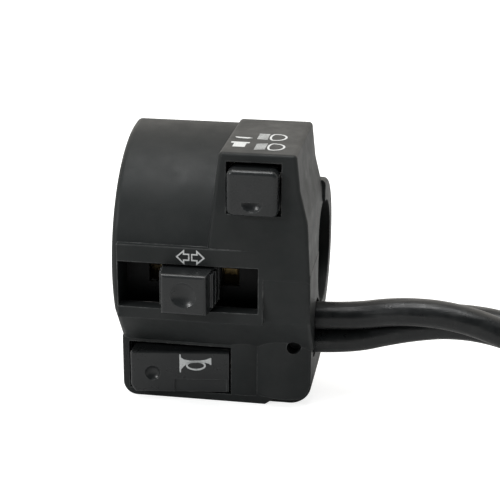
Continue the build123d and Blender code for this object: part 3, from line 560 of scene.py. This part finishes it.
@dataclass
class Studio:
    """Pale floor, even light and the camera of the photograph.

    Attributes:
        azimuth: Camera's turn from the front, in degrees.
        elevation: Its height angle in degrees.
        distance: Its way from the frame's origin in metres.
        focal_px: Its focal length in pixels.
        frame_px: Side of the square picture in pixels.
        origin_px: Where the frame's origin lies in the picture, in pixels from its top left.
        sensor: Width of its sensor in millimetres.
        near: Nearest distance that it sees, in metres.
        room_ends: How far forward and back the room's light changes, as a share of the way.
        front_level: Strength of the room's light before the object.
        back_level: Strength of the room's light behind it.
        front_tint: Colour of the light before it.
        back_tint: Colour of the light behind it.
        lamps: The two lamps.
        floor_half: Half the floor's side in metres.
        floor_patches: Where the floor is lighter.
        floor_tones: The floor's two tones.
        floor_roughness: Its roughness.
        floor_glow: How much it shines, in reflections and to the camera.
    """

    azimuth: float = 9.874
    elevation: float = 20.0
    distance: float = 0.3072
    focal_px: float = 1421.1
    frame_px: float = 500.0
    origin_px: Pair = (230.84, 245.20)
    sensor: float = 36.0
    near: float = 0.01
    room_ends: Pair = (-0.55, 0.45)
    front_level: float = 0.09
    back_level: float = 1.36
    front_tint: Colour = (0.86, 0.98, 1.0)
    back_tint: Colour = (1.0, 0.96, 0.90)
    lamps: tuple[Lamp, ...] = (
        Lamp("key", (-0.56, -0.52, 0.36), 0.13, 2.9),
        Lamp("top", (-0.08, -0.16, 0.82), 0.42, 4.8),
    )
    floor_half: float = 3.0
    floor_patches: Noise = Noise(60.0, rough=0.5)
    floor_tones: tuple[Colour, Colour] = ((0.54, 0.54, 0.54), (0.56, 0.56, 0.56))
    floor_roughness: float = 0.9
    floor_glow: Pair = (0.16, 0.80)

    def camera(self) -> None:
        """Makes the camera at the photograph's angle and sets it."""
        data = bpy.data.cameras.new("camera")
        data.sensor_width = self.sensor
        data.lens = self.sensor * self.focal_px / self.frame_px
        data.shift_x = 0.5 - self.origin_px[0] / self.frame_px
        data.shift_y = self.origin_px[1] / self.frame_px - 0.5
        data.clip_start = self.near
        made = add("camera", data)
        a, e = math.radians(self.azimuth), math.radians(self.elevation)
        back = Vector((math.sin(a) * math.cos(e), -math.cos(a) * math.cos(e), math.sin(e)))
        aim(made, back * self.distance)
        bpy.context.scene.camera = made

    def world(self) -> None:
        """Lights the room, dim before the object and pale behind, and shows it white to the camera."""
        world = bpy.data.worlds.new("room")
        world.use_nodes = True
        g = Graph(world.node_tree)
        way = g.node("ShaderNodeSeparateXYZ")
        g.join(g.node("ShaderNodeTexCoord").outputs["Generated"], way.inputs["Vector"])
        depth = way.outputs["Y"]
        level = g.span(depth, self.room_ends, (self.front_level, self.back_level))
        tint = g.blend(g.span(depth, self.room_ends, (0.0, 1.0)), self.front_tint, self.back_tint)
        background = g.tree.nodes["Background"]
        g.join(g.combine("MAXIMUM", level, g.seen()), background.inputs["Strength"])
        g.join(tint, background.inputs["Color"])
        bpy.context.scene.world = world

    def floor(self) -> None:
        """Makes the pale floor that the object stands on."""
        half, level = self.floor_half, cad_box[0].z
        mesh = bpy.data.meshes.new("floor")
        corners = [(-half, -half, level), (half, -half, level), (half, half, level), (-half, half, level)]
        mesh.from_pydata(corners, [], [(0, 1, 2, 3)])
        made = add("floor", mesh)
        g = Skin("floor_white")
        tone = g.blend(g.cover(self.floor_patches), *self.floor_tones)
        glow = g.span(g.seen(), (0.0, 1.0), self.floor_glow)
        mesh.materials.append(g.put(Base_Color=tone, Roughness=self.floor_roughness, Specular_IOR_Level=0.0,
                                    Emission_Color=(1.0, 1.0, 1.0, 1.0), Emission_Strength=glow))

    def build(self) -> None:
        """Makes everything round the object."""
        self.camera()
        self.world()
        self.floor()
        for lamp in self.lamps:
            lamp.build()
        LOG.info("studio")


@dataclass(frozen=True)
class Strand:
    """One sleeved strand of the harness.

    Attributes:
        name: Which strand it is.
        route: Points that it passes between the housing and the coil, in metres.
        ring: Its place in the coil, counted outwards from the middle strand.
        turns: Turns of the coil to its plug.
        length: Its length in metres, from its inner end to its plug; not used.
    """

    name: str
    route: tuple[Place, ...]
    ring: int
    turns: float
    length: float

    @property
    def across(self) -> Pair:
        """Y and Z of its straight start in the housing."""
        return self.route[0][1:]


STRANDS = (
    Strand("front", (
        (0.0260, -0.0123, -0.0099),
        (0.0375, -0.0136, -0.0070),
        (0.0490, -0.0148, -0.0069),
        (0.0605, -0.0160, -0.0102),
        (0.0705, -0.0189, -0.0149),
        (0.0795, -0.0220, -0.0187),
    ), 1, 1.06, 0.349),
    Strand("lower", (
        (0.0260, -0.0109, -0.0159),
        (0.0375, -0.0102, -0.0125),
        (0.0490, -0.0098, -0.0107),
        (0.0605, -0.0096, -0.0126),
        (0.0715, -0.0124, -0.0169),
        (0.0815, -0.0160, -0.0194),
    ), 0, 1.12, 0.323),
    Strand("upper", (
        (0.0260, -0.0049, -0.0151),
        (0.0375, -0.0012, -0.0142),
        (0.0490, 0.0022, -0.0139),
        (0.0610, 0.0009, -0.0148),
        (0.0725, -0.0043, -0.0175),
        (0.0834, -0.0100, -0.0194),
    ), -1, 1.16, 0.290),
)


@dataclass
class Harness:
    """Three sleeved strands that leave the housing and lie in a tied coil, in metres.

    Attributes:
        radius: Radius of a sleeve.
        inner_end: X of the strands' inner ends.
        coil_centre: X and Y of the coil's middle.
        middle_radius: Radius of the middle strand's turns.
        pitch: Way from one strand to the next, across the coil and up.
        start_share: Turn that the coil starts at.
        plug_width: Width of a plug.
        slide_gap: Room of a piece that slides.
        descent_shares: Turns between which the strands come down to the floor.
        points_a_turn: Control points in a turn of the coil.
        curve_order: Order of the strands' curve.
        curve_steps: Steps between two control points.
        round_steps: Steps in a quarter of the sleeve's round.
        tied_strand: The strand that the tie goes with; not used.
    """

    radius: float = 0.0029
    inner_end: float = 0.0132
    coil_centre: Pair = (0.099, 0.0088)
    middle_radius: float = 0.029
    pitch: float = 0.0063
    start_share: float = -0.05
    plug_width: float = 0.011
    slide_gap: float = 0.00015
    descent_shares: Pair = (0.34, 0.80)
    points_a_turn: int = 16
    curve_order: int = 3
    curve_steps: int = 10
    round_steps: int = 8
    tied_strand: str = "lower"

    def level(self, t: float) -> float:
        """Height of the coil's middle line, which comes down from the second layer to the floor.

        Args:
            t: Turns from the coil's start.

        Returns:
            The height in metres.
        """
        low = cad_box[0].z + self.radius
        start, stop = self.descent_shares
        share = min(max((t - start) / (stop - start), 0.0), 1.0)
        return low + self.pitch * (1 + math.cos(math.pi * share)) / 2

    def place(self, strand: Strand, t: float, outer: float = 1.0) -> Vector:
        """Point of the coil.

        Args:
            strand: The strand.
            t: Turns from the coil's start.
            outer: What the radius is multiplied by.

        Returns:
            The point in metres.
        """
        a = 2 * math.pi * t - math.pi / 2
        reach = (self.middle_radius + self.pitch * strand.ring) * outer
        x, y = self.coil_centre
        return Vector((x + reach * math.cos(a), y + reach * math.sin(a), self.level(t)))

    def tail(self, strand: Strand) -> float:
        """Length of the straight end that reaches the plug.

        Args:
            strand: The strand.

        Returns:
            The length in metres.
        """
        inner = self.middle_radius + self.pitch * strand.ring - self.plug_width / 2
        reach = self.middle_radius + self.pitch + self.radius + 3 * self.slide_gap
        return math.sqrt(reach**2 - inner**2)

    def points(self, strand: Strand) -> list[Vector]:
        """Every control point of a strand, from the housing to its plug.

        Args:
            strand: The strand.

        Returns:
            The points in metres.
        """
        points = [Vector((self.inner_end, *strand.across))] + [Vector(p) for p in strand.route]
        points.append(self.place(strand, self.start_share))
        outer = 1 / math.cos(math.pi / self.points_a_turn)
        for i in range(math.floor((strand.turns - self.start_share) * self.points_a_turn)):
            points.append(self.place(strand, self.start_share + (i + 0.5) / self.points_a_turn, outer))
        finish = self.place(strand, strand.turns)
        a = 2 * math.pi * strand.turns
        way = Vector((math.cos(a), math.sin(a), 0.0))
        return points + [finish, finish + way * self.tail(strand)]

    def tube(self, strand: Strand) -> bpy.types.Object:
        """Makes a strand as one smooth tube.

        Args:
            strand: The strand.

        Returns:
            The tube.
        """
        data = bpy.data.curves.new(f"strand_{strand.name}", "CURVE")
        data.dimensions = "3D"
        data.bevel_depth = self.radius
        data.bevel_resolution = self.round_steps
        data.resolution_u = self.curve_steps
        data.use_fill_caps = True
        points = self.points(strand)
        spline = data.splines.new("NURBS")
        spline.points.add(len(points) - 1)
        for slot, point in zip(spline.points, points):
            slot.co = (*point, 1.0)
        spline.order_u = self.curve_order
        spline.use_endpoint_u = True
        data.materials.append(MATERIALS["sleeve_vinyl"])
        made = add(f"strand_{strand.name}", data)
        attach(made, HOUSING)
        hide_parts(f"sleeve_{strand.name}", f"coil_{strand.name}")
        return made

    def build(self) -> None:
        for strand in STRANDS:
            made = self.tube(strand)
            LOG.info("strand %s", strand.name)


class Stencil:
    """Flat print drawn in millimetres, then laid on a face.

    Attributes:
        thickness: Thickness of the ink in millimetres.
        least_mitre: Least cosine that a line's corner is drawn out for.
    """

    thickness: float = 0.02
    least_mitre: float = 0.4

    def __init__(self, name: str) -> None:
        """Starts an empty print.

        Args:
            name: The piece's name.
        """
        self.name = name
        self.mesh = bmesh.new()

    def patch(self, outline: Outline) -> None:
        """Fills an outline."""
        corners = [self.mesh.verts.new((x * MM, y * MM, 0.0)) for x, y in outline]
        self.mesh.faces.new(corners)

    def ribbon(self, line: Outline, width: float) -> None:
        """Draws a closed line of even width.

        Args:
            line: Its points in millimetres.
            width: Its width in millimetres.
        """
        points = [Vector(point) for point in line]
        sides = []
        for i, point in enumerate(points):
            ways = (point - points[i - 1]).normalized(), (points[(i + 1) % len(points)] - point).normalized()
            normals = [Vector((-way.y, way.x)) for way in ways]
            mitre = (normals[0] + normals[1]).normalized()
            reach = width / 2 / max(mitre.dot(normals[0]), self.least_mitre)
            corners = [(point + mitre * side) * MM for side in (reach, -reach)]
            sides.append([self.mesh.verts.new((*corner, 0.0)) for corner in corners])
        for i, a in enumerate(sides):
            b = sides[(i + 1) % len(sides)]
            self.mesh.faces.new((a[0], a[1], b[1], b[0]))

    def lay(self, matrix: Matrix, body: str) -> None:
        """Gives the print its thickness and lays it on a face.

        Args:
            matrix: Where it lies: X and Y along the face, Z out of it.
            body: The body that carries it.
        """
        bmesh.ops.recalc_face_normals(self.mesh, faces=self.mesh.faces)
        for face in self.mesh.faces:
            if face.normal.z < 0:
                face.normal_flip()
        raised = bmesh.ops.extrude_face_region(self.mesh, geom=list(self.mesh.faces))
        tops = [v for v in raised["geom"] if isinstance(v, bmesh.types.BMVert)]
        bmesh.ops.translate(self.mesh, verts=tops, vec=(0.0, 0.0, self.thickness * MM))
        bmesh.ops.recalc_face_normals(self.mesh, faces=self.mesh.faces)
        self.mesh.transform(matrix)
        data = bpy.data.meshes.new(self.name)
        self.mesh.to_mesh(data)
        self.mesh.free()
        data.materials.append(MATERIALS["print_ink"])
        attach(add(self.name, data), body)
        LOG.info("print %s", self.name)


@dataclass(frozen=True)
class BeamMark:
    """Place of one beam pictogram, in millimetres.

    Attributes:
        left: X of its rays' left ends.
        low: Y of its low end.
        slant: What the rays' left ends are moved by along Y.
    """

    left: float
    low: float
    slant: float = 0.0


@dataclass
class Prints:
    """Pictograms of the controls, in millimetres: beam, turn direction and horn.

    Attributes:
        lift: Room between a face and its print.
        stroke: Width of a line.
        beam_marks: The main beam with level rays, then the dipped beam.
        ray_count: Rays of a beam.
        ray_length: Length of a ray.
        ray_start: Height of the first ray above the low end.
        ray_pitch: Way from a ray to the next.
        lamp_gap: Room between the rays and the lamp.
        lamp_wide: Width of the lamp.
        lamp_tall: Height of the lamp.
        lamp_back: Share of its width that its flat back takes.
        lamp_bow: Power that gives its front its curve.
        lamp_front_steps: Steps of its front.
        lamp_back_steps: Steps of its back.
        slim_mark: Outline of the slim mark beside the main beam.
        bold_mark: Outline of the bold mark beside the dipped beam.
        arrow_middle: Point between the two arrows, on the panel's front.
        arrow_stroke: Width of the arrows' line.
        arrow_start: Where an arrow's shaft starts.
        arrow_neck: Where its head starts.
        arrow_tip: Where it ends.
        shaft_half: Half the shaft's height.
        head_half: Half the head's height.
        paddle_left: X and Y of the paddle's face at its left end.
        paddle_right: X and Y of the paddle's face at its right end.
        horn_left: X of the trumpet's left end.
        horn_top: Z of its top.
        trumpet: Outline of its bell and pipe.
        loop_middle: Middle of the pipe's loop.
        loop_reach: Half its width and half its height.
        loop_stroke: Width of its line.
        loop_steps: Steps of its round.
    """

    lift: float = 0.01
    stroke: float = 0.42
    beam_marks: tuple[BeamMark, ...] = (BeamMark(7.9, -15.4), BeamMark(8.4, -22.3, -0.55))
    ray_count: int = 5
    ray_length: float = 2.1
    ray_start: float = 0.45
    ray_pitch: float = 0.86
    lamp_gap: float = 0.45
    lamp_wide: float = 3.1
    lamp_tall: float = 4.4
    lamp_back: float = 0.25
    lamp_bow: float = 0.8
    lamp_front_steps: int = 18
    lamp_back_steps: int = 8
    slim_mark: Outline = (
        (3.3, -13.75), (4.4, -13.95), (6.2, -14.05), (7.0, -14.45), (6.0, -14.95), (4.2, -14.75),
        (3.6, -14.4))
    bold_mark: Outline = (
        (3.2, -17.5), (6.9, -17.5), (6.9, -18.35), (6.35, -18.4), (6.35, -21.0), (3.9, -21.0), (3.9, -18.4),
        (3.2, -18.35))
    arrow_middle: Place = (-3.65, -25.95, 6.5)
    arrow_stroke: float = 0.28
    arrow_start: float = 0.3
    arrow_neck: float = 1.35
    arrow_tip: float = 2.75
    shaft_half: float = 0.62
    head_half: float = 1.3
    paddle_left: Pair = (-17.85, -20.5)
    paddle_right: Pair = (2.65, -17.7)
    horn_left: float = -7.6
    horn_top: float = -17.9
    trumpet: Outline = (
        (0.0, 0.0), (0.28, 0.0), (0.34, -0.7), (1.0, -1.15), (2.2, -1.38), (4.4, -1.32), (5.6, -1.12),
        (6.45, -0.75), (6.68, -0.75), (6.68, -2.3), (6.45, -2.3), (6.2, -2.05), (5.5, -1.85), (4.4, -1.78),
        (2.3, -1.9), (1.4, -2.25), (0.8, -2.9), (0.34, -3.4), (0.28, -4.1), (0.0, -4.1))
    loop_middle: Pair = (3.45, -2.5)
    loop_reach: Pair = (1.9, 0.92)
    loop_stroke: float = 0.378
    loop_steps: int = 28

    def face(self, origin: Vector, across: Vector, up: Vector) -> Matrix:
        """Finds where a print lies.

        Args:
            origin: A point of the face, in metres.
            across: The print's X along the face.
            up: The print's Y along the face.

        Returns:
            The print's matrix, a little off the face.
        """
        x, y = across.normalized(), up.normalized()
        z = x.cross(y)
        turn = Matrix((x, y, z)).transposed().to_4x4()
        return Matrix.Translation(origin + z * self.lift * MM) @ turn

    def lamp_outline(self, left: float, low: float) -> list[Pair]:
        """Draws a lamp, rather flat at the left and bowed at the right.

        Args:
            left: X of its left end.
            low: Y of its low end.

        Returns:
            The outline's points.
        """
        back = self.lamp_back * self.lamp_wide
        front = self.lamp_wide - back
        half = self.lamp_tall / 2
        outline = []
        for i in range(self.lamp_front_steps + 1):
            a = math.pi * (i / self.lamp_front_steps - 0.5)
            bow = max(math.cos(a), 0.0) ** self.lamp_bow
            outline.append((left + back + front * bow, low + half + half * math.sin(a)))
        for i in range(1, self.lamp_back_steps):
            a = math.pi * (0.5 + i / self.lamp_back_steps)
            outline.append((left + back + back * math.cos(a), low + half + half * math.sin(a)))
        return outline

    def beams(self) -> None:
        """Draws the beam pictograms on the block's top, which is the top of the frame."""
        face = self.face(Vector((0.0, 0.0, cad_box[1].z)), Vector((1, 0, 0)), Vector((0, 1, 0)))
        marks = Stencil("beam_marks")
        for beam in self.beam_marks:
            right = beam.left + self.ray_length
            for i in range(self.ray_count):
                y = beam.low + self.ray_start + i * self.ray_pitch
                marks.patch([(beam.left, y + beam.slant), (right, y), (right, y + self.stroke),
                             (beam.left, y + beam.slant + self.stroke)])
            marks.ribbon(self.lamp_outline(right + self.lamp_gap, beam.low), self.stroke)
        marks.patch(self.slim_mark)
        marks.patch(self.bold_mark)
        marks.lay(face, HOUSING)

    def arrows(self) -> None:
        """Draws the two hollow arrows above the turn signal knob."""
        face = self.face(Vector(self.arrow_middle) * MM, Vector((1, 0, 0)), Vector((0, 0, 1)))
        marks = Stencil("turn_marks")
        upper = [(self.arrow_neck, self.head_half), (self.arrow_neck, self.shaft_half),
                 (self.arrow_start, self.shaft_half)]
        arrow = [(self.arrow_tip, 0.0), *upper, *((x, -y) for x, y in reversed(upper))]
        for side in (-1, 1):
            marks.ribbon([(side * x, y) for x, y in arrow], self.arrow_stroke)
        marks.lay(face, HOUSING)

    def horn(self) -> None:
        """Draws the trumpet on the horn paddle's slanting face."""
        left, right = Vector((*self.paddle_left, 0.0)), Vector((*self.paddle_right, 0.0))
        along = right - left
        start = left + along * ((self.horn_left - left.x) / along.x)
        start.z = self.horn_top
        face = self.face(start * MM, along, Vector((0, 0, 1)))
        marks = Stencil("horn_mark")
        marks.patch(self.trumpet)
        angles = [2 * math.pi * i / self.loop_steps for i in range(self.loop_steps)]
        (x, y), (wide, tall) = self.loop_middle, self.loop_reach
        marks.ribbon([(x + wide * math.cos(a), y + tall * math.sin(a)) for a in angles], self.loop_stroke)
        marks.lay(face, PADDLE)

    def build(self) -> None:
        """Makes every print."""
        self.beams()
        self.arrows()
        self.horn()


def dress_nodes() -> None:
    """Gives every solid of the frame the material of its slot."""
    slots = {s["node"]: s["material_slot"] for s in frame["record"]["subparts"]}
    for name, piece in frame["nodes"].items():
        piece.data.materials.clear()
        piece.data.materials.append(MATERIALS[slots[name]])
        LOG.info("solid %s in %s", name, slots[name])


def main() -> None:
    """Builds the scene, piece by piece."""
    logging.basicConfig(level=logging.INFO, format="%(message)s")
    bpy.context.scene.view_settings.view_transform = "Standard"
    Studio().build()
    Harness().build()
    dress_nodes()
    Prints().build()


if __name__ == "__main__":
    main()
